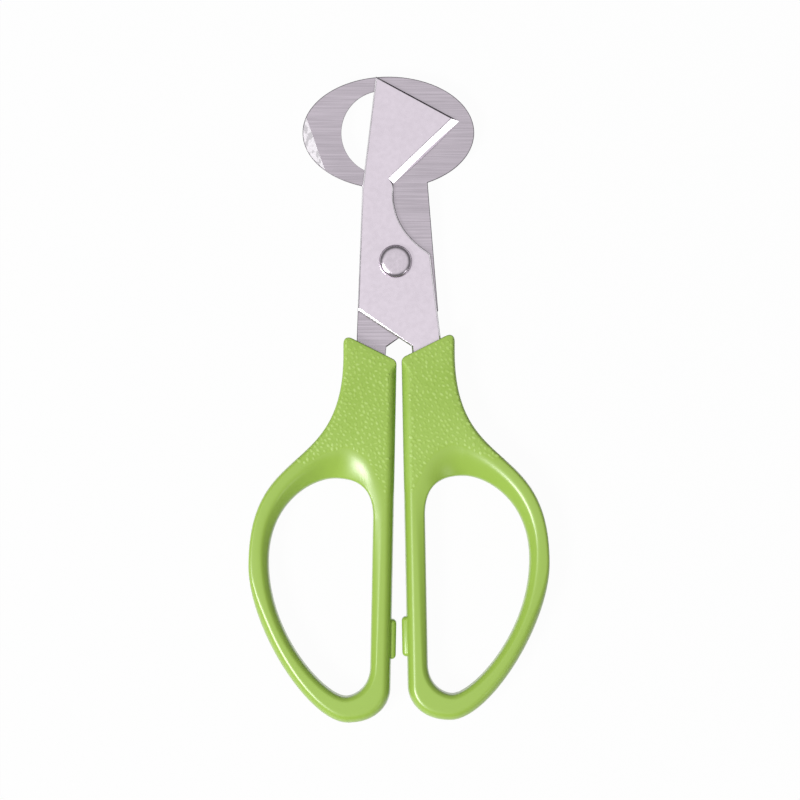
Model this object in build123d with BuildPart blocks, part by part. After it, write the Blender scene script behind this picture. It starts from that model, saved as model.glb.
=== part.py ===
from build123d import *
import math
import os

# Quail egg scissors, lying flat on Z = 0 with the blades pointing along +Y.
# Lengths are in millimetres and angles in degrees. The origin is the middle of the footprint.
# The left handle carries the ring blade, and the right handle carries the cutter blade above it.

# Heights
handle_thickness = 8.0
blade_thickness = 1.2
blade_gap = 0.04

# Pivot rivet and its washer
pivot_x = -0.78
pivot_y = 30.83
shank_diameter = 4.0
shank_clearance = 0.04
head_diameter = 7.4
head_height = 1.7
head_rim = 0.3
head_gap = 0.03
washer_diameter = 7.0
washer_thickness = 0.6
washer_clearance = 0.05
tail_diameter = 5.6
tail_height = 0.8
tail_rim = 0.2

# Egg ring at the end of the ring blade
ring_x = -2.4
ring_y = 59.75
ring_half_width = 19.28
ring_half_height = 12.59
egg_hole_x = -3.53
egg_hole_diameter = 18.9
ring_facet_bearing = 199.6
ring_facet_width = 2.4
ring_facet_slope = 13.0

# Necks: the two blades are widest at their shoulders and cross above the handles
shoulder_y = 19.7
shoulder_left = -9.28
shoulder_right = 8.78
neck_left = -8.28
neck_left_drop = 0.16
neck_right = 5.5

# Tangs, measured from the middle line between the handles
tang_inner = 2.85
tang_outer = 9.55
tang_crotch_y = 11.75
tang_end_inner = 4.4
tang_end_outer = 9.1
tang_end_y = -7.0
tang_hole_diameter = 2.6
tang_hole_y = -1.5

# Cutting head of the cutter blade, with heights above the ring's top, its centre and its lowest point
head_top_x = -5.2
head_top_rise = 0.01
tip_x = 13.46
tip_rise = 2.55
edge_foot_x = -1.3
edge_foot_rise = 1.14
edge_bulge = 0.3
bevel_width = 1.66
edge_land = 0.08
throat_drop = 4.0
throat_lead = 10.5
throat_lead_angle = 146.8
cutter_shoulder_x = 7.0
cutter_shoulder_y = 32.5
edge_chamfer = 0.3
back_width = 0.35
back_depth = 0.85

# Handle outline, drawn for the left handle
handle_corner_y = 14.5
handle_top_slope = -26.6
handle_outer = 12.48
handle_corner_fillet = 1.4
gap_half_width = 0.58
gap_lean = 1.09
gap_foot_y = -65.0
bow_reach = 33.8
bow_reach_y = -37.5
bow_foot_x = -11.5
bow_foot_y = -72.7
bow_width = 4.55
bow_foot_width = 5.95
edge_round = 1.8
right_handle_lift = 0.6
taper_start_y = -4.0
taper_slope = 4.0

# Fullness of the handle's curves: how far each one runs on along its tangent
outer_start_y = 10.0
shank_fullness = 28.35
shoulder_fullness = 28.5
belly_fullness = 13.85
heel_fullness = 8.8
foot_fullness = 6.7
gap_foot_fullness = 3.5

# Finger loop
loop_top_x = -14.4
loop_top_y = -17.87
loop_reach_y = -36.5
loop_foot_x = -12.0
loop_side_top_y = -27.0
loop_side_foot_y = -60.0
loop_shoulder_fullness = 5.3
loop_upper_fullness = 13.05
loop_lower_fullness = 16.9
loop_heel_fullness = 4.3
loop_foot_fullness = 1.6
loop_side_foot_fullness = 5.2
loop_side_top_fullness = 7.2
loop_crown_fullness = 5.0

# Finger relief above the loop, and the stop bump on the gap side
scoop_side = 0.7
scoop_radius = 8.5
scoop_depth = 1.8
stop_y = -53.9
stop_length = 9.0
stop_reach = 1.1
stop_height = 4.4
stop_bevel = 0.9

# Levels and corners worked out from the values above
middle_z = handle_thickness / 2
ring_top_z = middle_z - blade_gap / 2
ring_bottom_z = ring_top_z - blade_thickness
cutter_bottom_z = middle_z + blade_gap / 2
cutter_top_z = cutter_bottom_z + blade_thickness
shank_radius = shank_diameter / 2
overshoot = handle_thickness
ring_foot_y = ring_y - ring_half_height
shoulder_l = (shoulder_left, shoulder_y)
shoulder_r = (shoulder_right, shoulder_y)
neck_l = (neck_left, ring_foot_y - neck_left_drop)

os.makedirs("parts", exist_ok=True)


def pointing(bearing):
    """Unit vector in the XY plane, at a bearing counted from +X."""
    angle = math.radians(bearing)
    return Vector(math.cos(angle), math.sin(angle))


def ground_plane(at, bearing, slope, level):
    """Plane of a ground facet that starts at a point and falls away towards a bearing."""
    outward = pointing(bearing)
    fall = math.radians(slope)
    normal = outward * math.sin(fall) + Vector(0, 0, math.cos(fall))
    along = pointing(bearing + 90)
    return Plane(origin=(at.X, at.Y, level), x_dir=along, z_dir=normal)


def tang_outline(side, start_corner, crossing):
    """Lines of a tang, from its outer shoulder down into the handle and up to the other shoulder."""
    Polyline(
        start_corner,
        (side * tang_outer, tang_crotch_y),
        (side * tang_end_outer, tang_end_y),
        (side * tang_end_inner, tang_end_y),
        (side * tang_inner, tang_crotch_y),
        crossing,
    )


# Ring blade: an oval plate with the egg hole, on a neck that crosses to the left handle
with BuildPart() as ring_blade:
    with BuildSketch(Plane.XY.offset(ring_bottom_z)):
        with BuildLine():
            tang_outline(-1, shoulder_l, shoulder_r)
            Polyline(shoulder_r, (neck_right, ring_y), (neck_left, ring_y), neck_l, shoulder_l)
        make_face()
        with Locations((ring_x, ring_y)):
            Ellipse(ring_half_width, ring_half_height)
        with Locations((egg_hole_x, ring_y)):
            Circle(egg_hole_diameter / 2, mode=Mode.SUBTRACT)
        with Locations((pivot_x, pivot_y)):
            Circle(shank_radius, mode=Mode.SUBTRACT)
        with Locations((-(tang_inner + tang_outer) / 2, tang_hole_y)):
            Circle(tang_hole_diameter / 2, mode=Mode.SUBTRACT)
    extrude(amount=blade_thickness)
    facet_out = pointing(ring_facet_bearing)
    ring_support = math.hypot(ring_half_width * facet_out.X, ring_half_height * facet_out.Y)
    facet_at = Vector(ring_x, ring_y) + facet_out * (ring_support - ring_facet_width)
    with Locations(ground_plane(facet_at, ring_facet_bearing, ring_facet_slope, ring_top_z)):
        Box(
            2 * ring_half_height,
            2 * ring_facet_width,
            blade_thickness,
            align=(Align.CENTER, Align.CENTER, Align.MIN),
            mode=Mode.SUBTRACT,
        )

# Cutter blade: a pointed head with a ground edge, on a neck that crosses to the right handle
head_top = Vector(head_top_x, ring_y + ring_half_height + head_top_rise)
tip = Vector(tip_x, ring_y + tip_rise)
edge_foot = Vector(edge_foot_x, ring_foot_y + edge_foot_rise)
edge_run = (tip - edge_foot).normalized()
edge_out = Vector(edge_run.Y, -edge_run.X)
edge_bearing = math.degrees(math.atan2(edge_out.Y, edge_out.X))
edge_middle = (tip + edge_foot) * 0.5 + edge_out * edge_bulge
back_run = (tip - head_top).normalized()
back_out = Vector(-back_run.Y, back_run.X)
back_bearing = math.degrees(math.atan2(back_out.Y, back_out.X))
back_middle = (head_top + tip) * 0.5
cutter_shoulder = Vector(cutter_shoulder_x, cutter_shoulder_y)
bevel_slope = math.degrees(math.atan2(blade_thickness - edge_land, bevel_width + edge_bulge))
back_slope = math.degrees(math.atan2(back_depth, back_width))
with BuildPart() as cutter_blade:
    with BuildSketch(Plane.XY.offset(cutter_bottom_z)):
        with BuildLine():
            Line(head_top, tip)
            ThreePointArc(tip, edge_middle, edge_foot)
            Bezier(
                edge_foot,
                edge_foot - Vector(0, throat_drop),
                cutter_shoulder + pointing(throat_lead_angle) * throat_lead,
                cutter_shoulder,
            )
            tang_outline(1, cutter_shoulder, shoulder_l)
            Polyline(shoulder_l, neck_l, head_top)
        make_face()
        with Locations((pivot_x, pivot_y)):
            Circle(shank_radius + shank_clearance, mode=Mode.SUBTRACT)
        with Locations(((tang_inner + tang_outer) / 2, tang_hole_y)):
            Circle(tang_hole_diameter / 2, mode=Mode.SUBTRACT)
    extrude(amount=blade_thickness)
    top_edges = cutter_blade.faces().sort_by(Axis.Z)[-1].outer_wire().edges()
    plain_edges = top_edges.filter_by(GeomType.CIRCLE, reverse=True)
    chamfer(plain_edges.sort_by_distance(back_middle)[1:], edge_chamfer)
    with Locations(ground_plane(back_middle - back_out * back_width, back_bearing, back_slope, cutter_top_z)):
        Box(
            (tip - head_top).length + overshoot,
            2 * math.hypot(back_width, back_depth),
            blade_thickness,
            align=(Align.CENTER, Align.CENTER, Align.MIN),
            mode=Mode.SUBTRACT,
        )
    grind_at = edge_foot - edge_out * bevel_width
    with Locations(ground_plane(grind_at, edge_bearing, bevel_slope, cutter_top_z)):
        Box(
            (tip - edge_foot).length + overshoot,
            2 * (bevel_width + edge_bulge),
            2 * blade_thickness,
            align=(Align.MIN, Align.CENTER, Align.MIN),
            mode=Mode.SUBTRACT,
        )

# Pivot rivet: a domed head on the cutter blade, a shank through both blades and a peened tail
pivot_plane = Plane(origin=(pivot_x, pivot_y, 0), x_dir=(1, 0, 0), z_dir=(0, -1, 0))
pivot_axis = Axis((pivot_x, pivot_y, 0), (0, 0, 1))
head_z = cutter_top_z + head_gap
head_radius = head_diameter / 2
head_apex = (0, head_z + head_height)
tail_z = ring_bottom_z - washer_thickness
tail_radius = tail_diameter / 2
tail_apex = (0, tail_z - tail_height)
with BuildPart() as pivot_rivet:
    with BuildSketch(pivot_plane):
        with BuildLine():
            TangentArc(head_apex, (head_radius, head_z + head_rim), tangent=(1, 0))
            Polyline(
                (head_radius, head_z + head_rim),
                (head_radius, head_z),
                (shank_radius, head_z),
                (shank_radius, tail_z),
                (tail_radius, tail_z),
                (tail_radius, tail_z - tail_rim),
            )
            TangentArc(tail_apex, (tail_radius, tail_z - tail_rim), tangent=(1, 0))
            Line(tail_apex, head_apex)
        make_face()
    revolve(axis=pivot_axis)

# Washer between the ring blade and the peened tail
with BuildPart() as rivet_washer:
    with BuildSketch(Plane.XY.offset(tail_z)):
        with Locations((pivot_x, pivot_y)):
            Circle(washer_diameter / 2)
            Circle(shank_radius + washer_clearance, mode=Mode.SUBTRACT)
    extrude(amount=washer_thickness)

# Handle moulding, drawn for the left side: a shank that widens into a bow round the finger loop
gap_top_y = handle_corner_y + math.tan(math.radians(handle_top_slope)) * (handle_outer - gap_half_width)
gap_direction = pointing(-90 - gap_lean)


def gap_side(y, inset=0.0):
    """Point on the straight side that faces the other handle, or on its parallel at an inset."""
    return Vector(-gap_half_width - (gap_top_y - y) * math.tan(math.radians(gap_lean)) - inset, y)


bow_foot = Vector(bow_foot_x, bow_foot_y)
bow_side = Vector(-bow_reach, bow_reach_y)
outer_start = Vector(-handle_outer, outer_start_y)
gap_foot = gap_side(gap_foot_y)
loop_top = Vector(loop_top_x, loop_top_y)
loop_side = Vector(bow_width - bow_reach, loop_reach_y)
loop_foot = Vector(loop_foot_x, bow_foot_y + bow_foot_width)
loop_inner_foot = gap_side(loop_side_foot_y, bow_width)
loop_inner_top = gap_side(loop_side_top_y, bow_width)
scoop_ball_radius = (scoop_radius**2 + scoop_depth**2) / (2 * scoop_depth)
scoop_rise = scoop_ball_radius - scoop_depth
with BuildPart() as handle_blank:
    with BuildSketch() as handle_outline:
        with BuildLine():
            Bezier(
                outer_start,
                outer_start - Vector(0, shank_fullness),
                bow_side + Vector(0, shoulder_fullness),
                bow_side,
            )
            Bezier(
                bow_side,
                bow_side - Vector(0, belly_fullness),
                bow_foot - Vector(heel_fullness, 0),
                bow_foot,
            )
            Bezier(
                bow_foot,
                bow_foot + Vector(foot_fullness, 0),
                gap_foot + gap_direction * gap_foot_fullness,
                gap_foot,
            )
            Polyline(gap_foot, gap_side(gap_top_y), (-handle_outer, handle_corner_y), outer_start)
        make_face()
        fillet(handle_outline.vertices().sort_by(Axis.Y)[-2:], handle_corner_fillet)
        with BuildLine():
            Bezier(
                loop_top,
                loop_top - Vector(loop_shoulder_fullness, 0),
                loop_side + Vector(0, loop_upper_fullness),
                loop_side,
            )
            Bezier(
                loop_side,
                loop_side - Vector(0, loop_lower_fullness),
                loop_foot - Vector(loop_heel_fullness, 0),
                loop_foot,
            )
            Bezier(
                loop_foot,
                loop_foot + Vector(loop_foot_fullness, 0),
                loop_inner_foot + gap_direction * loop_side_foot_fullness,
                loop_inner_foot,
            )
            Line(loop_inner_foot, loop_inner_top)
            Bezier(
                loop_inner_top,
                loop_inner_top - gap_direction * loop_side_top_fullness,
                loop_top + Vector(loop_crown_fullness, 0),
                loop_top,
            )
        make_face(mode=Mode.SUBTRACT)
    extrude(amount=handle_thickness)
    flat_faces = handle_blank.faces().filter_by(Axis.Z)
    fillet(flat_faces.edges(), edge_round)
    with Locations(ground_plane(Vector(-handle_outer, taper_start_y), 90, taper_slope, handle_thickness)):
        taper_cut = Box(
            2 * bow_reach,
            2 * (handle_corner_y - taper_start_y) + overshoot,
            handle_thickness,
            align=(Align.CENTER, Align.CENTER, Align.MIN),
            mode=Mode.PRIVATE,
        )
    add([taper_cut, mirror(taper_cut, about=Plane.XY.offset(middle_z))], mode=Mode.SUBTRACT)
    with BuildSketch(Plane.XY.offset(middle_z)):
        with BuildLine():
            stop_root_top = gap_side(stop_y + stop_length / 2, edge_round)
            stop_root_foot = gap_side(stop_y - stop_length / 2, edge_round)
            stop_face_top = gap_side(stop_y + stop_length / 2 - stop_bevel, -stop_reach)
            stop_face_foot = gap_side(stop_y - stop_length / 2 + stop_bevel, -stop_reach)
            stop_side_top = gap_side(stop_y + stop_length / 2)
            stop_side_foot = gap_side(stop_y - stop_length / 2)
            Polyline(
                stop_root_top,
                stop_side_top,
                stop_face_top,
                stop_face_foot,
                stop_side_foot,
                stop_root_foot,
                close=True,
            )
        make_face()
    extrude(amount=stop_height / 2, both=True)
    with Locations(
        (loop_top_x + scoop_side, loop_top_y, handle_thickness + scoop_rise),
        (loop_top_x + scoop_side, loop_top_y, -scoop_rise),
    ):
        Sphere(scoop_ball_radius, rotation=(90, 0, 0), mode=Mode.SUBTRACT)

# Left handle, moulded round the ring blade's tang
with BuildPart() as left_handle:
    add(handle_blank.part)
    add(ring_blade.part, mode=Mode.SUBTRACT)

# Right handle, the mirrored moulding round the cutter blade's tang
mirrored_blank = mirror(handle_blank.part, about=Plane.YZ)
with BuildPart() as right_handle:
    with Locations((0, right_handle_lift)):
        add(mirrored_blank)
    add(cutter_blade.part, mode=Mode.SUBTRACT)

ring_blade.part.label = "ring_blade"
cutter_blade.part.label = "cutter_blade"
pivot_rivet.part.label = "pivot_rivet"
rivet_washer.part.label = "rivet_washer"
left_handle.part.label = "left_handle"
right_handle.part.label = "right_handle"
export_step(ring_blade.part, "parts/ring_blade.step")
export_step(cutter_blade.part, "parts/cutter_blade.step")
export_step(pivot_rivet.part, "parts/pivot_rivet.step")
export_step(rivet_washer.part, "parts/rivet_washer.step")
export_step(left_handle.part, "parts/left_handle.step")
export_step(right_handle.part, "parts/right_handle.step")
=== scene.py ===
# %% [markdown]
# # Quail egg scissors
# These scissors take the top off a quail egg. Two flat steel blades turn on one rivet, and each blade is
# moulded into a green plastic handle. The measured model is loaded first as a fixed frame, and every piece
# below is made in that frame, in metres, with the blades along +Y and the table just under Z = 0.

import math

import bmesh
import bpy
import numpy as np
from mathutils import Matrix, Vector
from mathutils.geometry import interpolate_bezier


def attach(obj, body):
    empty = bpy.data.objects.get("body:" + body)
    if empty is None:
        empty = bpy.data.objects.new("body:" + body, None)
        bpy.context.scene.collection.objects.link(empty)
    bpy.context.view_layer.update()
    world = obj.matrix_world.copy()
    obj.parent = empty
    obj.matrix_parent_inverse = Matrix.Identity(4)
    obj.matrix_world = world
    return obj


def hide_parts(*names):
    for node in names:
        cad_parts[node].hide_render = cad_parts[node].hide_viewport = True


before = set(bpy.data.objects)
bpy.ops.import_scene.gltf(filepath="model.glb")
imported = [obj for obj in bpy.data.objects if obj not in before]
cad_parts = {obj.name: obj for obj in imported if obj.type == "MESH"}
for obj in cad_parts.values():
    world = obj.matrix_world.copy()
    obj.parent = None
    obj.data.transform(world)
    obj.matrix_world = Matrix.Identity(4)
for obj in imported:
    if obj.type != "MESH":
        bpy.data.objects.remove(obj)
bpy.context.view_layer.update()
scene = bpy.context.scene
MM = 0.001
print("nodes of the measured model:", sorted(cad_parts))

# %% [markdown]
# ## Writing a finish as sums
# A finish is a tree of nodes, and a tree is hard to read as code. So a socket that carries a number is
# wrapped in a small class, and Python's own operators add the Math nodes. Every other kind of node comes
# from one method, which takes its settings first and then the values or links of its sockets.


# %% A number that can be added and multiplied
class Term:
    """A number on a node's socket, combined with others through Math nodes."""

    def __init__(self, tree, socket):
        self.tree = tree
        self.socket = socket

    def joined(self, operation, first, second):
        node = self.tree.nodes.new("ShaderNodeMath")
        node.operation = operation
        for place, term in zip(node.inputs, (first, second)):
            if isinstance(term, Term):
                self.tree.links.new(term.socket, place)
            else:
                place.default_value = term
        return Term(self.tree, node.outputs[0])

    def __add__(self, other):
        return self.joined("ADD", self, other)

    def __radd__(self, other):
        return self.joined("ADD", other, self)

    def __sub__(self, other):
        return self.joined("SUBTRACT", self, other)

    def __rsub__(self, other):
        return self.joined("SUBTRACT", other, self)

    def __mul__(self, other):
        return self.joined("MULTIPLY", self, other)

    def highest(self, other):
        return self.joined("MAXIMUM", self, other)


# %% One method for any other node
class Finish:
    """The node tree of a material or of the world."""

    def __init__(self, owner):
        owner.use_nodes = True
        self.tree = owner.node_tree
        self.tree.nodes.clear()

    def add(self, kind, settings=None, sockets=None, output=0):
        node = self.tree.nodes.new("ShaderNode" + kind)
        for name, value in (settings or {}).items():
            setattr(node, name, value)
        for name, value in (sockets or {}).items():
            if isinstance(value, Term):
                self.tree.links.new(value.socket, node.inputs[name])
            else:
                node.inputs[name].default_value = value
        return Term(self.tree, node.outputs[output]) if node.outputs else node

    def blend(self, factor, first, second):
        """A colour between two others."""
        sockets = {0: factor, 6: first, 7: second}
        return self.add("Mix", {"data_type": "RGBA"}, sockets, output=2)

    def ramp(self, value, low, high):
        """A smooth step from 0 at the low value to 1 at the high one."""
        sockets = {"Value": value, "From Min": low, "From Max": high}
        return self.add("MapRange", {"interpolation_type": "SMOOTHSTEP"}, sockets)

    def noise(self, place, stretch, detail=2.0):
        """Noise with so many lumps to the metre along X, Y and Z."""
        sockets = {"Vector": place, "Scale": stretch}
        stretched = self.add("Mapping", {"vector_type": "POINT"}, sockets)
        return self.add("TexNoise", None, {"Vector": stretched, "Scale": 1.0, "Detail": detail})

    def seen(self):
        """1 for rays from the camera, also reflected or through something clear, and 0 for the rest."""
        kinds = ("Is Camera Ray", "Is Glossy Ray", "Is Transmission Ray")
        direct, mirrored, clear = (self.add("LightPath", output=kind) for kind in kinds)
        return direct.highest(mirrored).highest(clear)

    def surface(self, shader):
        self.add("OutputMaterial", None, {"Surface": shader})


# %% [markdown]
# ## The camera
# The picture was taken from straight above, so the camera looks down and the scissors point up the frame.
# A long lens from a metre away keeps the outlines almost as a plan. The frame is square, and one picture
# element is 0.2246 mm on the blades.

# %% Camera
FRAME_ELEMENTS = 800
ELEMENT_SIZE = 0.2246
FRAME_WIDTH = FRAME_ELEMENTS * ELEMENT_SIZE * MM
CAMERA_X = 0.213 * MM
CAMERA_Y = -0.281 * MM
CAMERA_HEIGHT = 1.0
SENSOR_WIDTH = 36.0
BLADE_LEVEL = 4 * MM
photo_camera = bpy.data.cameras.new("photo_camera")
photo_camera.sensor_width = SENSOR_WIDTH
photo_camera.lens = SENSOR_WIDTH * CAMERA_HEIGHT / FRAME_WIDTH
camera_holder = bpy.data.objects.new("photo_camera", photo_camera)
camera_holder.location = (CAMERA_X, CAMERA_Y, CAMERA_HEIGHT + BLADE_LEVEL)
scene.collection.objects.link(camera_holder)
scene.camera = camera_holder
print("lens", round(photo_camera.lens, 1), "mm")

# %% [markdown]
# ## Table and light
# The table is plain white. To the camera and in reflections it is mostly its own white, so that it stays
# white behind the scissors, and the rest is a plain diffuse floor that keeps their soft shadow.

# %% White table
FLOOR_SIDE = 6.0
FLOOR_DROP = 0.08 * MM
floor_bm = bmesh.new()
bmesh.ops.create_grid(floor_bm, x_segments=1, y_segments=1, size=FLOOR_SIDE / 2)
bmesh.ops.translate(floor_bm, vec=(0, 0, -FLOOR_DROP), verts=floor_bm.verts)
floor_mesh = bpy.data.meshes.new("table")
floor_bm.to_mesh(floor_mesh)
floor_bm.free()
floor = bpy.data.objects.new("table", floor_mesh)
scene.collection.objects.link(floor)

OWN_WHITE = 0.97
PAINT_GREY = (0.65, 0.65, 0.65, 1)
PURE_WHITE = (1, 1, 1, 1)
table_white = bpy.data.materials.new("table_white")
finish = Finish(table_white)
seen = finish.seen()
paint = finish.add("BsdfDiffuse", None, {"Color": PAINT_GREY})
glow = finish.add("Emission", None, {"Color": PURE_WHITE, "Strength": 1.0})
finish.surface(finish.add("MixShader", None, {0: seen * OWN_WHITE, 1: paint, 2: glow}))
floor_mesh.materials.append(table_white)
print("table", FLOOR_SIDE, "m square")

# %% [markdown]
# The room is white at the horizon, dim above it and pale again overhead, as a studio with dark walls and a
# white ceiling is. Steel has no colour of its own to show, so this is what makes a flat blade look grey. It
# also darkens the blades' edges, together with the shade that is painted on their walls.

# %% Room
HORIZON_TOP = 0.03
WALL_START = 0.12
WALL_GREY = 0.2
WALL_TOP = 0.72
CEILING_START = 0.95
CEILING_GREY = 1.0
SOFT_SHARE = 0.58
room = bpy.data.worlds.new("studio_room")
scene.world = room
finish = Finish(room)
direction = finish.add("TexCoord", output="Generated")
height = finish.add("SeparateXYZ", None, {0: direction}, output="Z")
wall = finish.ramp(height, HORIZON_TOP, WALL_START)
ceiling = finish.ramp(height, WALL_TOP, CEILING_START)
grey = 1.0 - wall * (1.0 - WALL_GREY) + ceiling * (CEILING_GREY - WALL_GREY)
strength = SOFT_SHARE + finish.seen() * (1.0 - SOFT_SHARE)
backdrop = finish.add("Background", None, {"Color": PURE_WHITE, "Strength": grey * strength})
finish.add("OutputWorld", None, {"Surface": backdrop})
print("room with a ceiling of", CEILING_GREY)

# %% [markdown]
# Two soft boxes light the table. The main one stands beyond the handles on the left, and a weaker one on
# the right. They draw the streaks on the bows, the white ground edge and the two patches on the rivet.

# %% Soft boxes
LAMP_AIM = Vector((0, 0, BLADE_LEVEL))


def soft_box(name, bearing, elevation, distance, width, height, power):
    """A rectangular lamp that faces the scissors from a bearing counted from +X."""
    turn = math.radians(bearing)
    rise = math.radians(elevation)
    away = Vector((math.cos(turn) * math.cos(rise), math.sin(turn) * math.cos(rise), math.sin(rise)))
    lamp = bpy.data.lights.new(name, "AREA")
    lamp.shape = "RECTANGLE"
    lamp.size = width
    lamp.size_y = height
    lamp.energy = power
    holder = bpy.data.objects.new(name, lamp)
    holder.location = LAMP_AIM + away * distance
    holder.rotation_euler = away.to_track_quat("Z", "Y").to_euler()
    scene.collection.objects.link(holder)
    print(name, power, "W at", elevation, "degrees")


soft_box("main_box", bearing=213, elevation=52, distance=1.4, width=0.52, height=0.42, power=17.5)
soft_box("second_box", bearing=316, elevation=33, distance=1.4, width=0.36, height=0.28, power=0.9)

# %% [markdown]
# ## Steel
# The ring blade is brushed across its length, so its lines are noise that is stretched hard along X. The
# cutter is finer and paler, like a blasted satin, and the rivet is polished. Each finish varies its tint,
# its gloss and its relief, because a blade with one flat value looks like paper. Where a blade was ground
# after stamping, its mesh carries a value called ground, and there the finish turns brighter and mottled.
# The walls and eased edges carry a value called shear_and_shade. It makes them a little rougher, as torn
# steel
# is, and paints them dark grey: painted shade that stands in for the shadow along the blades' edges.

# %% Brushed and satin steel
LILAC = Vector((1.0, 0.9, 1.01))
NEUTRAL = Vector((1.0, 0.96, 1.01))
# Painted shade: the dark grey painted on the walls and eased edges, for the shadow along the edges.
PAINTED_SHADE_GREY = 0.12
SHEAR_DULL = 0.15
CLOUD_LUMPS = (90, 90, 90)
SMEAR_LUMPS = (1100, 700, 700)
LINE_HEIGHT = 0.02 * MM


def tint(brightness, hue=LILAC):
    """A colour of some brightness in the blades' faint lilac."""
    return (*(hue * brightness), 1)


def steel(name, tones, ground_tones, lines, speckle, rough, ground_rough, line_depth):
    """A metal whose lines and speckle have so many lumps to the metre."""
    material = bpy.data.materials.new(name)
    finish = Finish(material)
    place = finish.add("TexCoord", output="Object")
    ground = finish.add("Attribute", {"attribute_name": "ground"}, output="Fac")
    shear_and_shade = finish.add("Attribute", {"attribute_name": "shear_and_shade"}, output="Fac")
    streaks = finish.noise(place, lines, 3.0)
    grit = finish.noise(place, (speckle, speckle, speckle), 2.0)
    cloud = finish.noise(place, CLOUD_LUMPS, 3.0)
    smears = finish.noise(place, SMEAR_LUMPS, 3.0)
    tone = streaks * 0.8 + cloud * 0.2
    stamped = finish.blend(finish.ramp(tone, 0.3, 0.7), tint(tones[0]), tint(tones[1]))
    dull, bright = (tint(brightness, NEUTRAL) for brightness in ground_tones)
    polished = finish.blend(finish.ramp(smears, 0.38, 0.52), dull, bright)
    colour = finish.blend(ground, stamped, polished)
    # Painted shade: walls and eased edges are blended towards the dark grey.
    colour = finish.blend(shear_and_shade, colour, tint(PAINTED_SHADE_GREY))
    stamped_rough = rough + (streaks - 0.5) * 0.12 + (cloud - 0.5) * 0.04
    polished_rough = ground_rough + (smears - 0.5) * 0.12
    roughness = stamped_rough * (1.0 - ground) + polished_rough * ground + shear_and_shade * SHEAR_DULL
    relief = streaks * 0.7 + grit * 0.3
    bump = finish.add("Bump", None, {"Strength": line_depth, "Distance": LINE_HEIGHT, "Height": relief})
    sockets = {"Base Color": colour, "Metallic": 1.0, "Roughness": roughness, "Normal": bump}
    finish.surface(finish.add("BsdfPrincipled", None, sockets))
    return material


ring_steel = steel(
    "ring_steel",
    tones=(0.42, 0.55),
    ground_tones=(0.25, 0.39),
    lines=(70, 5200, 70),
    speckle=9000,
    rough=0.28,
    ground_rough=0.5,
    line_depth=0.4,
)
cutter_steel = steel(
    "cutter_steel",
    tones=(0.67, 0.7),
    ground_tones=(0.84, 0.93),
    lines=(900, 900, 900),
    speckle=12000,
    rough=0.28,
    ground_rough=0.25,
    line_depth=0.05,
)
rivet_steel = steel(
    "rivet_steel",
    tones=(0.6, 0.68),
    ground_tones=(0.6, 0.68),
    lines=(1200, 1200, 1200),
    speckle=6000,
    rough=0.2,
    ground_rough=0.2,
    line_depth=0.04,
)
print("steel finishes:", ring_steel.name, cutter_steel.name, rivet_steel.name)

# %% [markdown]
# ## Putting a finished mesh in its place
# Each new mesh becomes an object at the origin, takes its finish, rides on one half of the scissors and
# stands for the plain solid of the same name.

# %% Finished pieces


def finished(name, bm, body, node, material, sharp_angle=30):
    """Make a piece of a mesh. Edges that turn more than the sharp angle, in degrees, stay crisp."""
    mesh = bpy.data.meshes.new(name)
    bm.to_mesh(mesh)
    bm.free()
    piece = bpy.data.objects.new(name, mesh)
    scene.collection.objects.link(piece)
    mesh.materials.append(material)
    mesh.shade_smooth()
    mesh.set_sharp_from_angle(angle=math.radians(sharp_angle))
    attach(piece, body)
    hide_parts(node)
    print(name, len(mesh.polygons), "faces")
    return piece


# %% [markdown]
# ## Blades
# The blades are stamped and ground, and the measured solids have their true outlines. A copy of each is
# merged, its flat triangles are dissolved into whole faces, and its sharp corners are eased by 0.05 to
# 0.25 mm, because a real edge always catches a thin line of light.

# %% Copies with eased corners
UP = Vector((0, 0, 1))
MERGE_GAP = 0.0004 * MM
SLIVER = 0.001 * MM
FLAT_WITHIN = math.radians(0.3)
CORNER_LEAST = math.radians(20)
BARE_STEEL_Y = 5 * MM


def merged_copy(node):
    """The solid of a node as one closed mesh with whole flat faces."""
    bm = bmesh.new()
    bm.from_mesh(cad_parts[node].data)
    bmesh.ops.remove_doubles(bm, verts=bm.verts[:], dist=MERGE_GAP)
    bmesh.ops.dissolve_limit(bm, angle_limit=FLAT_WITHIN, verts=bm.verts[:], edges=bm.edges[:])
    return bm


def ease(bm, width, chosen, segments=2, clamp=True):
    """Take the corner off the chosen edges, and say how many there were."""
    corners = []
    for edge in bm.edges:
        if len(edge.link_faces) == 2 and edge.calc_face_angle() > CORNER_LEAST and chosen(edge):
            corners.append(edge)
    bmesh.ops.bevel(
        bm,
        geom=corners,
        offset=width,
        offset_type="OFFSET",
        segments=segments,
        profile=0.5,
        affect="EDGES",
        material=-1,
        clamp_overlap=clamp,
    )
    bmesh.ops.dissolve_degenerate(bm, dist=SLIVER, edges=bm.edges[:])
    bm.normal_update()
    return len(corners)


def above_handles(edge):
    return min(vert.co.y for vert in edge.verts) > BARE_STEEL_Y


def mark(bm, name, ranges):
    """Give faces a value for the finish to read, by ranges of least tilt, most tilt (degrees) and value."""
    layer = bm.faces.layers.float.new(name)
    for face in bm.faces:
        tilt = math.degrees(face.normal.angle(UP, 0))
        for least, most, value in ranges:
            if least < tilt < most:
                face[layer] = value


EGG_HOLE = Vector((-3.53, 59.75)) * MM
HOLE_REACH = 9.6 * MM


def round_the_hole(edge):
    return all((vert.co.xy - EGG_HOLE).length < HOLE_REACH for vert in edge.verts)


def on_the_outline(edge):
    return above_handles(edge) and not round_the_hole(edge)


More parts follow.
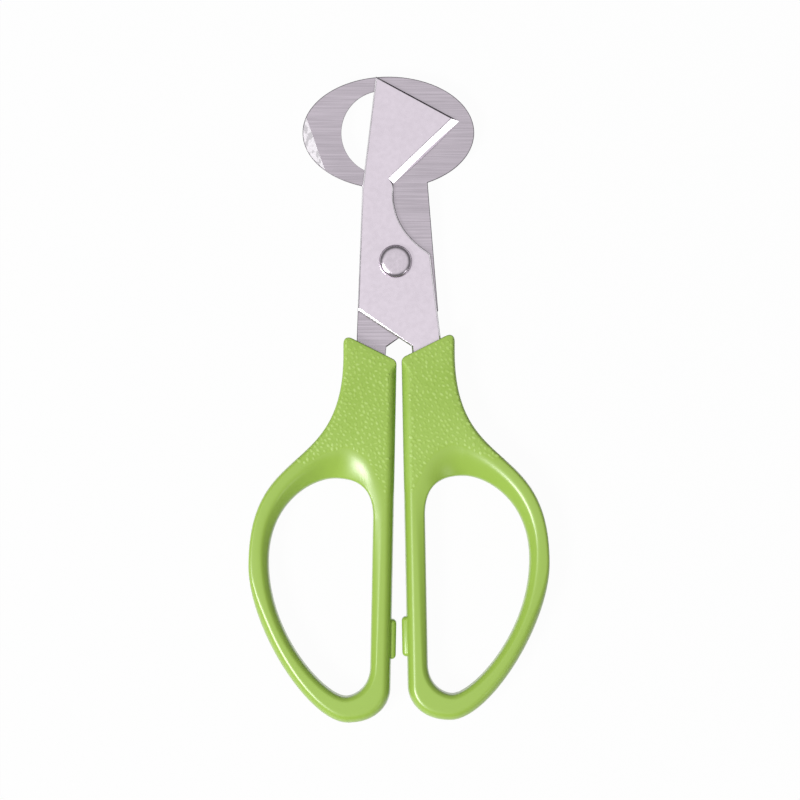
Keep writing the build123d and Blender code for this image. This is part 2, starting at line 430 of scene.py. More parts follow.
FLAT_ANGLE = 11
OUTLINE_EASE = 0.14 * MM
HOLE_EASE = 0.05 * MM
RING_GROUND = [(11, 15, 1.0)]
# Painted shade: the ring's walls and eased outline are painted dark, for the shadow along its edges.
RING_SHEAR_AND_SHADE = [(20, 160, 1.0)]
ring_bm = merged_copy("ring_blade")
print("ring outline edges eased:", ease(ring_bm, OUTLINE_EASE, on_the_outline, clamp=False))
print("ring hole edges eased:", ease(ring_bm, HOLE_EASE, round_the_hole))
mark(ring_bm, "ground", RING_GROUND)
mark(ring_bm, "shear_and_shade", RING_SHEAR_AND_SHADE)
finished("ring_blade_plate", ring_bm, "ring_half", "ring_blade", ring_steel, FLAT_ANGLE)

# %% Cutter
EDGE_FOOT = Vector((-1.3, 48.3, 0)) * MM  # where the ground edge meets the throat
EDGE_TIP = Vector((13.46, 62.3, 0)) * MM
EDGE_START = -0.4 * MM
EDGE_END = 20.8 * MM
EDGE_CLEAR = 1.2 * MM
GRIND_LEAST = math.radians(26)
GRIND_MOST = math.radians(33)
CHAMFER_LEAST = 40
CHAMFER_MOST = 50
TAIL_EDGE_LEVEL = 5.2 * MM
TAIL_BEARING_LEAST = 228
TAIL_BEARING_MOST = 243
RIGHT_LEVEL_LEAST = 4.8 * MM
RIGHT_LEVEL_MOST = 5.1 * MM
RIGHT_BEARING_LEFT = 80
RIGHT_BEARING_RIGHT = 280


def off_the_cutting_edge(edge):
    """True for edges that are well away from the thin ground edge."""
    if not above_handles(edge):
        return False
    run = (EDGE_TIP - EDGE_FOOT).normalized()
    for vert in edge.verts:
        offset = Vector((vert.co.x, vert.co.y, 0)) - EDGE_FOOT
        along = offset.dot(run)
        across = (offset - run * along).length
        if EDGE_START < along < EDGE_END and across < EDGE_CLEAR:
            return False
    return True


def on_the_grind_line(edge):
    """True for the border between the flat face and the ground edge."""
    return GRIND_LEAST < edge.calc_face_angle() < GRIND_MOST


def chamfer_bearing(edge):
    """Bearing in degrees of the chamfer beside an edge, or None."""
    for face in edge.link_faces:
        if CHAMFER_LEAST < math.degrees(face.normal.angle(UP)) < CHAMFER_MOST:
            return math.degrees(math.atan2(face.normal.y, face.normal.x)) % 360
    return None


def on_the_tail_edge(edge):
    """True for the upper border of the chamfer that crosses the ring blade below the rivet."""
    bearing = chamfer_bearing(edge)
    if bearing is None or not above_handles(edge):
        return False
    high = min(vert.co.z for vert in edge.verts) > TAIL_EDGE_LEVEL
    return high and TAIL_BEARING_LEAST < bearing < TAIL_BEARING_MOST


# Easing these borders leaves a steep strip under each right-facing chamfer, and that strip is painted dark
# with the walls: painted shade along the blade's right edges.
def under_the_right_chamfer(edge):
    """True for the lower border of the chamfers that face right."""
    bearing = chamfer_bearing(edge)
    if bearing is None or not off_the_cutting_edge(edge):
        return False
    levels = [vert.co.z for vert in edge.verts]
    low = RIGHT_LEVEL_LEAST < min(levels) and max(levels) < RIGHT_LEVEL_MOST
    return low and (bearing < RIGHT_BEARING_LEFT or bearing > RIGHT_BEARING_RIGHT)


TAIL_EASE = 0.25 * MM
RIGHT_EASE = 0.14 * MM
GRIND_EASE = 0.11 * MM
CUTTER_EASE = 0.06 * MM
FOOT_CORNER = EDGE_FOOT + Vector((0, 0, 5.22)) * MM
FOOT_REACH = 0.05 * MM
FOOT_LEAN = Vector((-0.25, -0.21, 0)) * MM
CUTTER_GROUND = [(21, 24, 1.0), (26, 33, 1.0), (40, 50, 1.0)]  # eased tail edge, ground edge, chamfers
# Painted shade: the eased grind line is painted a darker grey and the walls dark, for the shade along these
# edges.
CUTTER_SHEAR_AND_SHADE = [(12, 18, 0.8), (62, 118, 1.0)]  # eased grind line, walls
cutter_bm = merged_copy("cutter_blade")
cutter_bm.normal_update()
print("tail edges:", ease(cutter_bm, TAIL_EASE, on_the_tail_edge, 1, False))
print("right chamfer edges:", ease(cutter_bm, RIGHT_EASE, under_the_right_chamfer, 1, False))
# The corner at the foot of the ground edge leans back, and the wall that this tilts is painted dark with the
# other walls: a painted shadow at the foot of the ground edge.
for vert in cutter_bm.verts:
    if (vert.co - FOOT_CORNER).length < FOOT_REACH:
        vert.co += FOOT_LEAN
        print("foot corner leans back")
print("grind line edges:", ease(cutter_bm, GRIND_EASE, on_the_grind_line, 1))
print("cutter edges eased:", ease(cutter_bm, CUTTER_EASE, off_the_cutting_edge))
mark(cutter_bm, "ground", CUTTER_GROUND)
mark(cutter_bm, "shear_and_shade", CUTTER_SHEAR_AND_SHADE)
finished(
    "cutter_blade_plate",
    cutter_bm,
    "cutter_half",
    "cutter_blade",
    cutter_steel,
    FLAT_ANGLE,
)

# %% [markdown]
# ## Rivet and washer
# The rivet is turned: a low dome with a rolled rim, a shank and a peened tail, with a washer under the
# blades. Turned parts are made from half their profile, spun once round the pivot.

# %% Turned parts
PIVOT = Vector((-0.78, 30.83, 0)) * MM
TURN_STEPS = 96
SEAM_GAP = 0.0005 * MM


def turned(profile):
    """Spin a half profile of (radius, height) points in millimetres round the pivot."""
    bm = bmesh.new()
    verts = [bm.verts.new(PIVOT + Vector((radius, 0, height)) * MM) for radius, height in profile]
    edges = [bm.edges.new(pair) for pair in zip(verts, verts[1:])]
    bmesh.ops.spin(
        bm,
        geom=verts + edges,
        cent=PIVOT,
        axis=(0, 0, 1),
        angle=2 * math.pi,
        steps=TURN_STEPS,
        use_merge=True,
    )
    bmesh.ops.remove_doubles(bm, verts=bm.verts[:], dist=SEAM_GAP)
    bmesh.ops.recalc_face_normals(bm, faces=bm.faces[:])
    return bm


def arc(centre, radius, start, end, steps):
    """Points of an arc between two angles in degrees, in the profile's plane."""
    points = []
    for step in range(steps + 1):
        angle = math.radians(start + (end - start) * step / steps)
        points.append((centre[0] + radius * math.cos(angle), centre[1] + radius * math.sin(angle)))
    return points


HEAD_RADIUS = 3.7
HEAD_LEVEL = 5.25
HEAD_TOP = 6.95
RIM_ROLL = 0.2
DOME_FLAT = 0.56
DOME_STEPS = 48
ROLL_STEPS = 6
SHANK_RADIUS = 2.0
PEEN_RADIUS = 2.6
PEEN_LEVEL = 2.18
PEEN_ROLL = 0.2
PEEN_TURN = -40
PEEN_END = [(2.0, 1.66), (1.2, 1.47), (0.5, 1.39), (0, 1.38)]
dome_rise = HEAD_TOP - HEAD_LEVEL - RIM_ROLL
dome = []
for x, z in arc((0, 0), 1.0, 90, 0, DOME_STEPS):
    radius = HEAD_RADIUS * max(x, 0) ** DOME_FLAT
    dome.append((radius, HEAD_LEVEL + RIM_ROLL + dome_rise * max(z, 0) ** DOME_FLAT))
rim = arc((HEAD_RADIUS - RIM_ROLL, HEAD_LEVEL + RIM_ROLL), RIM_ROLL, 0, -90, ROLL_STEPS)[1:]
shank = [(SHANK_RADIUS, HEAD_LEVEL), (SHANK_RADIUS, PEEN_LEVEL), (PEEN_RADIUS, PEEN_LEVEL)]
peen = arc((PEEN_RADIUS, PEEN_LEVEL - PEEN_ROLL), PEEN_ROLL, 90, PEEN_TURN, ROLL_STEPS)[1:] + PEEN_END
rivet_bm = turned(dome + rim + shank + peen)
finished("pivot_rivet_turned", rivet_bm, "ring_half", "pivot_rivet", rivet_steel)

# %% Washer
WASHER_BORE = 2.05
WASHER_RADIUS = 3.5
WASHER_TOP = 2.78
WASHER_ROLL = 0.12
WASHER_STEPS = 4
bore_roll = WASHER_BORE + WASHER_ROLL
rim_roll = WASHER_RADIUS - WASHER_ROLL
low_roll = PEEN_LEVEL + WASHER_ROLL
high_roll = WASHER_TOP - WASHER_ROLL
washer = arc((rim_roll, high_roll), WASHER_ROLL, 90, 0, WASHER_STEPS)
washer += arc((rim_roll, low_roll), WASHER_ROLL, 0, -90, WASHER_STEPS)
washer += arc((bore_roll, low_roll), WASHER_ROLL, -90, -180, WASHER_STEPS)
washer += arc((bore_roll, high_roll), WASHER_ROLL, 180, 90, WASHER_STEPS)
washer_bm = turned(washer + washer[:1])
finished("rivet_washer_turned", washer_bm, "ring_half", "rivet_washer", rivet_steel)

# %% [markdown]
# ## Handle plastic
# The handles are moulded in one apple green. The bows are glossy, as if under a clear coat, and the shanks
# carry a dull pebbled grain for the grip. The mesh carries two values for the finish to read. The one
# called grain is 1 on the grip and 0 on the bows. It takes the gloss off and adds the finest relief between
# the pebbles. The one called tip rises towards the top of each pebble and paints it paler: a painted
# highlight that stands in for the glint of light on each pebble.

# %% Green plastic
GRIP_GREENS = ((0.315, 0.5, 0.067, 1), (0.385, 0.575, 0.113, 1))
BOW_GREENS = ((0.28, 0.46, 0.045, 1), (0.35, 0.535, 0.08, 1))
# Painted highlight: the paler green painted on the pebble tops as their glint of light.
GLINT_GREEN = (0.56, 0.76, 0.24, 1)
BOW_ROUGH = 0.28
GRIP_ROUGHER = 0.2
PEEL_SHARE = 0.06
GRAIN_HEIGHT = 0.06 * MM
GRAIN_STRENGTH = 0.35
PLASTIC_IOR = 1.4
COAT_WEIGHT = 0.7
COAT_END = 0.3
COAT_ROUGH = 0.32
COAT_IOR = 1.5
handle_green = bpy.data.materials.new("handle_green")
finish = Finish(handle_green)
place = finish.add("TexCoord", output="Object")
grain = finish.add("Attribute", {"attribute_name": "grain"}, output="Fac")
tip = finish.add("Attribute", {"attribute_name": "tip"}, output="Fac")
fine_grain = finish.noise(place, (1500, 1500, 1500), 2.0)
cloud = finish.noise(place, (60, 60, 60), 2.0)
orange_peel = finish.noise(place, (500, 500, 500), 1.0)
tone = finish.ramp(cloud * 0.5 + fine_grain * grain * 0.5 + 0.4 - grain * 0.4, 0.1, 0.7)
dull = finish.blend(tone, *GRIP_GREENS)
glossy = finish.blend(tone, *BOW_GREENS)
colour = finish.blend(grain, glossy, dull)
# Painted highlight: pebble tops are blended towards a paler green.
colour = finish.blend(tip, colour, GLINT_GREEN)
roughness = BOW_ROUGH + grain * GRIP_ROUGHER + (cloud - 0.5) * 0.06
relief = fine_grain * grain + orange_peel * PEEL_SHARE
sockets = {"Strength": GRAIN_STRENGTH, "Distance": GRAIN_HEIGHT, "Height": relief}
bump = finish.add("Bump", None, sockets)
coat = COAT_WEIGHT - finish.ramp(grain, 0.0, COAT_END) * COAT_WEIGHT
sockets = {"Base Color": colour, "Roughness": roughness, "Normal": bump, "IOR": PLASTIC_IOR}
sockets.update({"Coat Weight": coat, "Coat Roughness": COAT_ROUGH, "Coat IOR": COAT_IOR})
finish.surface(finish.add("BsdfPrincipled", None, sockets))
print("plastic", handle_green.name)

# %% [markdown]
# ## Handle outlines
# Each handle is one bow round a finger loop. Its outline and its loop are drawn with the same smooth curves
# as the measured model, in millimetres and for the left side. They are cut into five matching stretches, so
# that every point of the outline has a partner on the loop.

# %% Outline of the left handle
OUTER_SIDE = 12.48
CORNER_Y = 14.5
GAP_HALF = 0.58
GAP_LEAN = math.tan(math.radians(1.09))
GAP_TOP_Y = CORNER_Y - math.tan(math.radians(26.6)) * (OUTER_SIDE - GAP_HALF)
BOW_WIDTH = 4.55
BOW_REACH = 33.8
CORNER_ROUND = 1.4
CORNER_PULL = 0.6
CORNER_STEPS = 20
INNER_TOP_Y = -27
INNER_FOOT_Y = -60
GAP_FOOT_Y = -65
CROWN_SPLIT = 0.45
# How far each end of a curve is drawn out along its own direction
SHANK_PULL = 28.35
SIDE_PULL_UP = 28.5
SIDE_PULL_DOWN = 13.85
FOOT_PULL_LEFT = 8.8
FOOT_PULL_RIGHT = 6.7
GAP_FOOT_PULL = 3.5
LOOP_TOP_PULL_LEFT = 5.3
LOOP_TOP_PULL_RIGHT = 5
LOOP_SIDE_PULL_UP = 13.05
LOOP_SIDE_PULL_DOWN = 16.9
LOOP_FOOT_PULL_LEFT = 4.3
LOOP_FOOT_PULL_RIGHT = 1.6
INNER_FOOT_PULL = 5.2
INNER_TOP_PULL = 7.2


def spot(x, y):
    return Vector((x, y, 0))


def gap_side(y, inset=0.0):
    """Point on the straight side that faces the other handle."""
    return spot(-GAP_HALF - (GAP_TOP_Y - y) * GAP_LEAN - inset, y)


def curve(start, start_pull, end_pull, end, steps=90):
    """Points along a smooth curve with its two pulls."""
    return [(p.x, p.y) for p in interpolate_bezier(start, start_pull, end_pull, end, steps)]


def corner(before, tip, after):
    """Points round a corner with the moulding's corner radius."""
    back = (before - tip).normalized()
    ahead = (after - tip).normalized()
    reach = CORNER_ROUND / math.tan(back.angle(ahead) / 2)
    start = tip + back * reach
    end = tip + ahead * reach
    return curve(start, start.lerp(tip, CORNER_PULL), end.lerp(tip, CORNER_PULL), end, CORNER_STEPS)


gap_run = (gap_side(-1) - gap_side(0)).normalized()
outer_start = spot(-OUTER_SIDE, 10.0)
bow_side = spot(-BOW_REACH, -37.5)
bow_foot = spot(-11.5, -72.7)
gap_foot = gap_side(GAP_FOOT_Y)
gap_inner_foot = gap_side(INNER_FOOT_Y)
gap_inner_top = gap_side(INNER_TOP_Y)
gap_top = gap_side(GAP_TOP_Y)
outer_corner = spot(-OUTER_SIDE, CORNER_Y)
top_middle = (gap_top + outer_corner) / 2
loop_top = spot(-14.4, -17.87)
loop_side = spot(BOW_WIDTH - BOW_REACH, -36.5)
loop_foot = spot(-12.0, -66.75)
loop_inner_foot = gap_side(INNER_FOOT_Y, BOW_WIDTH)
loop_inner_top = gap_side(INNER_TOP_Y, BOW_WIDTH)

left_edge = corner(gap_top, outer_corner, outer_start)
left_edge += curve(
    outer_start, outer_start - spot(0, SHANK_PULL), bow_side + spot(0, SIDE_PULL_UP), bow_side
)
heel = curve(
    bow_side, bow_side - spot(0, SIDE_PULL_DOWN), bow_foot - spot(FOOT_PULL_LEFT, 0), bow_foot
)
toe = curve(
    bow_foot, bow_foot + spot(FOOT_PULL_RIGHT, 0), gap_foot + gap_run * GAP_FOOT_PULL, gap_foot
)
right_edge = [gap_inner_top.xy[:]] + corner(gap_inner_top, gap_top, outer_corner) + [top_middle.xy[:]]
outer_stretches = [
    [top_middle.xy[:]] + left_edge,
    heel,
    toe + [gap_inner_foot.xy[:]],
    [gap_inner_foot.xy[:], gap_inner_top.xy[:]],
    right_edge,
]
crown_left = curve(
    loop_top,
    loop_top - spot(LOOP_TOP_PULL_LEFT, 0),
    loop_side + spot(0, LOOP_SIDE_PULL_UP),
    loop_side,
)
loop_heel = curve(
    loop_side,
    loop_side - spot(0, LOOP_SIDE_PULL_DOWN),
    loop_foot - spot(LOOP_FOOT_PULL_LEFT, 0),
    loop_foot,
)
loop_toe = curve(
    loop_foot,
    loop_foot + spot(LOOP_FOOT_PULL_RIGHT, 0),
    loop_inner_foot + gap_run * INNER_FOOT_PULL,
    loop_inner_foot,
)
crown_right = curve(
    loop_inner_top,
    loop_inner_top - gap_run * INNER_TOP_PULL,
    loop_top + spot(LOOP_TOP_PULL_RIGHT, 0),
    loop_top,
)
loop_straight = [loop_inner_foot.xy[:], loop_inner_top.xy[:]]
crown_split = int(CROWN_SPLIT * len(crown_right))
inner_stretches = [
    crown_right[crown_split:] + crown_left[1:],
    loop_heel,
    loop_toe,
    loop_straight,
    crown_right[: crown_split + 1],
]
print("outline of", len(outer_stretches), "stretches")

# %% Matching points
STRETCH_STEPS = (190, 96, 48, 40, 130)
FAN_EVEN = 0.5
FAN_LEFT = 3.5
FAN_RIGHT = 3.0


def spaced(points, shares):
    """Points at given shares of a line's length."""
    points = np.array(points)
    travel = np.concatenate(([0.0], np.cumsum(np.hypot(*np.diff(points, axis=0).T))))
    return np.column_stack([np.interp(shares * travel[-1], travel, points[:, k]) for k in (0, 1)])


outer_line = []
inner_line = []
for stretch, count in enumerate(STRETCH_STEPS):
    shares = np.arange(count) / count
    fan = shares
    if stretch == 0:
        fan = FAN_EVEN * shares + (1 - FAN_EVEN) * shares**FAN_LEFT
    if stretch == 4:
        fan = 1 - FAN_EVEN * (1 - shares) - (1 - FAN_EVEN) * (1 - shares) ** FAN_RIGHT
    outer_line.append(spaced(outer_stretches[stretch], shares))
    inner_line.append(spaced(inner_stretches[stretch], fan))
outer_line = np.concatenate(outer_line)
inner_line = np.concatenate(inner_line)


def sideways(line):
    """Unit vectors to the left of a closed line that runs anticlockwise."""
    along = np.roll(line, -1, axis=0) - np.roll(line, 1, axis=0)
    along /= np.hypot(*along.T)[:, None]
    return np.column_stack((-along[:, 1], along[:, 0]))


outer_inward = sideways(outer_line)
loop_outward = -sideways(inner_line)
print("spokes between outline and loop:", len(outer_line))

# %% [markdown]
# ## Handle shape
# A handle has one hole, so it is a ring in the way that a doughnut is. A flat grid is rolled into that ring:
# each of its points is moved to its place on the moulding, round the edges, across the faces, and down into
# the finger relief. The relief is a slope that follows the loop. It is widest above it, where it makes a
# dish for the fingertip, and it runs out along the bow. The parting line of the mould is a fine ridge at
# half height.

# %% Finger relief along the loop
# A place is the number of a curve of the loop plus the share of the way along it. Reach and depth are in
# millimetres, the power bends the slope, and the melt softens its upper end.
SLOPE_PLACES = (0.0, 0.06, 0.14, 0.25, 0.33, 0.55, 0.75, 1.0, 1.3, 2.0, 3.0, 3.9, 4.1, 4.5, 4.71, 4.88, 5.0)
SLOPE_REACH = (6.2, 5.0, 3.9, 3.1, 2.75, 2.2, 1.9, 1.7, 1.7, 1.3, 1.4, 2.0, 2.2, 2.9, 5.9, 7.2, 6.2)
SLOPE_DEPTH = (3.2, 3.3, 3.2, 3.1, 3.05, 2.6, 2.1, 1.6, 1.4, 0.8, 1.2, 0.7, 0.45, 0.5, 1.9, 2.7, 3.2)
SLOPE_POWER = (1.3, 1.25, 1.15, 1.1, 1.08, 1.08, 1.15, 1.4, 1.8, 1.8, 1.5, 1.3, 1.4, 1.4, 1.35, 1.35, 1.3)
SLOPE_MELT = (0.28, 0.28, 0.32, 0.36, 0.36, 0.36, 0.36, 0.3, 0.2, 0.13, 0.13, 0.15, 0.2, 0.3, 0.3, 0.3, 0.28)
TRACK_STEPS = 400
TRACK_BLUR = 120
BLUR_END = 2.5
loop_curves = [crown_left, loop_heel, loop_toe, loop_straight, crown_right]
track_shares = np.arange(TRACK_STEPS) / TRACK_STEPS
loop_track = np.concatenate([spaced(part, track_shares) for part in loop_curves])
track_place = np.concatenate([number + track_shares for number in range(len(loop_curves))])
blur = np.exp(-(np.linspace(-BLUR_END, BLUR_END, 2 * TRACK_BLUR + 1) ** 2))


def along_loop(values):
    """Values right round the loop, blended softly between the places."""
    line = np.interp(track_place, SLOPE_PLACES, values)
    line = np.concatenate((line[-TRACK_BLUR:], line, line[:TRACK_BLUR]))
    return np.convolve(line, blur / blur.sum(), "valid")


slope_reach = along_loop(SLOPE_REACH)
slope_depth = along_loop(SLOPE_DEPTH)
slope_power = along_loop(SLOPE_POWER)
slope_melt = along_loop(SLOPE_MELT)
print("finger relief up to", max(SLOPE_DEPTH), "mm deep")

# %% Depth of the faces
THICKNESS = 8.0
CROWN_DROP = 0.16
CROWN_REACH = 2.6
TAPER_START = -4.0
TAPER_RISE = math.tan(math.radians(4.0))
TAPER_MELT = 3.0
EDGE_ROUND = 1.8
EDGE_FALL = 2.3
DRAFT_IN = 0.06
TOP_SHARE = 0.08
TOP_KEPT = 0.7
TOP_FADE = 1.6
TOP_POINTS = 60
SIDE_SHARE = 0.35
SIDE_START = -36.0
SIDE_FADE = 16.0
SIDE_MARGIN = 1
BATCH = 2000


def nearest(points, line):
    """Distance from each point to a row of points, and the index of the nearest one in it."""
    found = np.empty(len(points))
    index = np.empty(len(points), int)
    for start in range(0, len(points), BATCH):
        part = points[start : start + BATCH]
        gaps = np.hypot(part[:, None, 0] - line[None, :, 0], part[:, None, 1] - line[None, :, 1])
        index[start : start + BATCH] = gaps.argmin(axis=1)
        found[start : start + BATCH] = gaps.min(axis=1)
    return found, index


def smooth_rise(least, way):
    """A share that rises smoothly from its least to 1 along the way."""
    return least + (1 - least) * way**2 * (3 - 2 * way)


slanted_top = np.linspace(gap_top.xy, outer_corner.xy, TOP_POINTS)
from_top = np.clip((nearest(outer_line, slanted_top)[0] - TOP_KEPT) / TOP_FADE, 0, 1)
edge_share = smooth_rise(TOP_SHARE, from_top)
down_the_side = np.clip((SIDE_START - outer_line[:, 1]) / SIDE_FADE, 0, 1)
side_share = smooth_rise(SIDE_SHARE, down_the_side)
side_share = np.where(outer_line[:, 0] < -OUTER_SIDE + SIDE_MARGIN, side_share, 1)
edge_share = np.minimum(edge_share, side_share)


def face_drop(points):
    """How far the faces of the moulding lie below their highest level at some points."""
    from_edge, index = nearest(points, outer_line)
    outside = 1 - np.clip((from_edge - DRAFT_IN) / (EDGE_ROUND * edge_share[index]), 0, 1)
    edge = EDGE_FALL * edge_share[index] * (1 - np.sqrt(1 - outside**2))
    from_loop, index = nearest(points, loop_track)
    across = 1 - from_loop / slope_reach[index]
    across = (across + np.hypot(across, slope_melt[index])) / 2
    relief = slope_depth[index] * across ** slope_power[index]
    crown = CROWN_DROP * (1 - np.clip(from_edge / CROWN_REACH, 0, 1)) ** 2
    past_start = points[:, 1] - TAPER_START
    taper = TAPER_RISE * (past_start + np.hypot(past_start, TAPER_MELT)) / 2
    return edge + relief + crown + taper


# %% Lines across the faces
ACROSS_STEPS = 28
ACROSS_POWER = 1.8
RELAX_TURNS = 500
RELAX_SHARE = 0.9


def spread(far, near):
    """Even out a net between two closed lines, so that its lines across never cross each other."""
    share = np.linspace(0, 1, ACROSS_STEPS + 1)[None, :, None]
    net = far[:, None, :] * (1 - share) + near[:, None, :] * share
    for turn in range(RELAX_TURNS):
        ahead = np.roll(net, -1, axis=0)
        behind = np.roll(net, 1, axis=0)
        along = (ahead - behind)[:, 1:-1] / 2
        across = (net[:, 2:] - net[:, :-2]) / 2
        long = (along**2).sum(axis=2, keepdims=True)
        wide = (across**2).sum(axis=2, keepdims=True)
        slant = (along * across).sum(axis=2, keepdims=True)
        twist = (ahead[:, 2:] - ahead[:, :-2] - behind[:, 2:] + behind[:, :-2]) / 2
        wanted = wide * (ahead + behind)[:, 1:-1] + long * (net[:, 2:] + net[:, :-2]) - slant * twist
        net[:, 1:-1] += RELAX_SHARE * (wanted / (2 * (long + wide)) - net[:, 1:-1])
    return net


# %% Stations across the section
LOOP_ROUND = 0.4
LOOP_FALL = 0.5
ROUND_STEPS = 8
FLASH_OUT = 0.03
FLASH_HALF = 0.09
CORNER_SHARE = 0.44
CORNER_KEPT = 1.5
CORNER_FADE = 5
corner_spots = np.array([gap_top.xy[:], outer_corner.xy[:]])
from_corner = np.clip((nearest(outer_line, corner_spots)[0] - CORNER_KEPT) / CORNER_FADE, 0, 1)
corner_share = CORNER_SHARE + (1 - CORNER_SHARE) * from_corner

middle = THICKNESS / 2
section = []
section_drop = []
section_level = []


def station(points, drop, level=None):
    """Add one row of points right round the moulding."""
    section.append(points)
    section_drop.append(drop)
    section_level.append(level)


def edge_points(inset):
    return outer_line + outer_inward * (DRAFT_IN + inset * corner_share)[:, None]


def loop_points(inset):
    return inner_line + loop_outward * (DRAFT_IN + inset)


station(outer_line - outer_inward * FLASH_OUT, 0, middle)
station(outer_line, 0, middle + FLASH_HALF)
for step in range(ROUND_STEPS + 1):
    station(edge_points(EDGE_ROUND * (1 - math.cos(math.radians(90 * step / ROUND_STEPS)))), 0)
net = spread(edge_points(EDGE_ROUND), loop_points(LOOP_ROUND))
net_shares = 1 - (1 - np.arange(ACROSS_STEPS + 1) / ACROSS_STEPS) ** ACROSS_POWER
net = np.stack([spaced(line, net_shares) for line in net])
for step in range(1, ACROSS_STEPS):
    station(net[:, step], 0)
for step in range(ROUND_STEPS, -1, -1):
    angle = math.radians(90 * step / ROUND_STEPS)
    station(loop_points(LOOP_ROUND * (1 - math.cos(angle))), LOOP_FALL * (1 - math.sin(angle)))
station(inner_line, 0, middle + FLASH_HALF)
station(inner_line - loop_outward * FLASH_OUT, 0, middle)

upper = np.zeros((len(outer_line), len(section), 3))
for k, (points, drop, level) in enumerate(zip(section, section_drop, section_level)):
    upper[:, k, :2] = points
    upper[:, k, 2] = level if level is not None else THICKNESS - drop - face_drop(points)
along_spoke = np.diff(upper[:, :, :2], axis=1)
along_edge = np.roll(upper[:, :-1, :2], -1, axis=0) - upper[:, :-1, :2]
turned_over = along_edge[..., 0] * along_spoke[..., 1] - along_edge[..., 1] * along_spoke[..., 0] < 0
print("section of", len(section), "stations from edge to loop,", turned_over.sum(), "cells turned over")

# %% Roll a grid into the moulding
WELD_GAP = 0.0001
spokes = len(outer_line)
around = 2 * (len(section) - 1)
grid_bm = bmesh.new()
bmesh.ops.create_grid(grid_bm, x_segments=spokes, y_segments=around, size=0.5)
for vert in grid_bm.verts:
    spoke = round((vert.co.x + 0.5) * spokes) % spokes
    place = round((vert.co.y + 0.5) * around) % around
    if place < len(section):
        vert.co = upper[spoke, place]
    else:
        vert.co = upper[spoke, around - place]
        vert.co.z = THICKNESS - vert.co.z
bmesh.ops.remove_doubles(grid_bm, verts=grid_bm.verts[:], dist=WELD_GAP)
moulding = bpy.data.meshes.new("moulding")
grid_bm.to_mesh(moulding)
grid_bm.free()
print("moulding of", len(moulding.vertices), "points, expected", spokes * around)


# %% [markdown]
# ## Stops, slots and pebbles
# A small stop stands on the inner side of each handle, where the two meet when the scissors close. It is a
# rounded block that is united with the moulding. The blade's tang is cut out of the handle, so that the
# steel sits in a slot as it does when the plastic is moulded round it.

# %% Stop block
STOP_Y = -53.9
STOP_LENGTH = 9.0
STOP_OUT = 1.1
STOP_ROOT = 1.6
STOP_HEIGHT = 4.4
STOP_ROUND = 0.95
STOP_STEPS = 5
SLOT_ROOM = 0.02


def stop_block():
    bm = bmesh.new()
    centre = gap_side(STOP_Y) + spot((STOP_OUT - STOP_ROOT) / 2, 0)
    size = Matrix.Diagonal((STOP_OUT + STOP_ROOT, STOP_LENGTH, STOP_HEIGHT, 1))
    lean = Matrix.Rotation(-math.atan(GAP_LEAN), 4, "Z")
    put = Matrix.Translation(centre + Vector((0, 0, middle)))
    bmesh.ops.create_cube(bm, size=1.0, matrix=put @ lean @ size)
    bmesh.ops.bevel(
        bm,
        geom=bm.edges[:],
        offset=STOP_ROUND,
        segments=STOP_STEPS,
        profile=0.5,
        affect="EDGES",
        material=-1,
    )
    return bm


def tang_cutter(node):
    """The blade grown by a hair, to cut its slot."""
    bm = merged_copy(node)
    bm.normal_update()
    grown = [(vert, vert.co + vert.normal * SLOT_ROOM * MM) for vert in bm.verts]
    for vert, place in grown:
        vert.co = place
    return bm


def with_tool(piece, tool_bm, operation):
    """Unite a tool with a piece, or cut it out, and keep the result as the piece's mesh."""
    tool_mesh = bpy.data.meshes.new("tool")
    tool_bm.to_mesh(tool_mesh)
    tool_bm.free()
    tool = bpy.data.objects.new("tool", tool_mesh)
    scene.collection.objects.link(tool)
    change = piece.modifiers.new("change", "BOOLEAN")
    change.operation = operation
    change.object = tool
    change.solver = "MANIFOLD"
    evaluated = piece.evaluated_get(bpy.context.evaluated_depsgraph_get())
    changed = bpy.data.meshes.new_from_object(evaluated)
    piece.modifiers.remove(change)
    before = piece.data
    piece.data = changed
    bpy.data.meshes.remove(before)
    bpy.data.meshes.remove(tool_mesh)
    print(operation.lower(), "leaves", len(changed.polygons), "faces")


# %% [markdown]
# The grip's pebbles are small, low and slightly long, and they all lie about the same way. A few hundred on
# each face would be heavy as fine relief, so each is the cap of a flattened ball, with its rim just under
# the face. They are scattered with a fixed seed and keep a set distance from each other.

# %% Where the grip is grained
GRIP_LOW_OUTER = -15.0
GRIP_LOW_INNER = -22.0
GRIP_FADE = 4.0
GRIP_SPLIT_X = -9.0
GRIP_CLEAR = 0.4
GRIP_CLEAR_FADE = 0.8


def grip_share(points):
    """1 on the grained grip and 0 on the smooth bow and in the finger relief."""
    from_loop, index = nearest(points, loop_track)
    clear = np.clip((from_loop - slope_reach[index] - GRIP_CLEAR) / GRIP_CLEAR_FADE, 0, 1)
    low = np.where(points[:, 0] > GRIP_SPLIT_X, GRIP_LOW_INNER, GRIP_LOW_OUTER)
    return clear * np.clip((points[:, 1] - low) / GRIP_FADE, 0, 1)


# %% Shape of one pebble
PEBBLE_CUT = 0.66
PEBBLE_SUNK = 0.74
pebble_bm = bmesh.new()
bmesh.ops.create_uvsphere(pebble_bm, u_segments=8, v_segments=12, radius=1.0)
ball = pebble_bm.verts[:] + pebble_bm.edges[:] + pebble_bm.faces[:]
cut_place = (0, 0, PEBBLE_CUT)
bmesh.ops.bisect_plane(pebble_bm, geom=ball, plane_co=cut_place, plane_no=(0, 0, 1), clear_inner=True)
bmesh.ops.holes_fill(pebble_bm, edges=pebble_bm.edges[:], sides=0)
bmesh.ops.translate(pebble_bm, vec=(0, 0, -PEBBLE_SUNK), verts=pebble_bm.verts[:])
bmesh.ops.recalc_face_normals(pebble_bm, faces=pebble_bm.faces[:])
pebble = bpy.data.meshes.new("pebble")
pebble_bm.to_mesh(pebble)
pebble_bm.free()
print("pebble of", len(pebble.polygons), "faces")

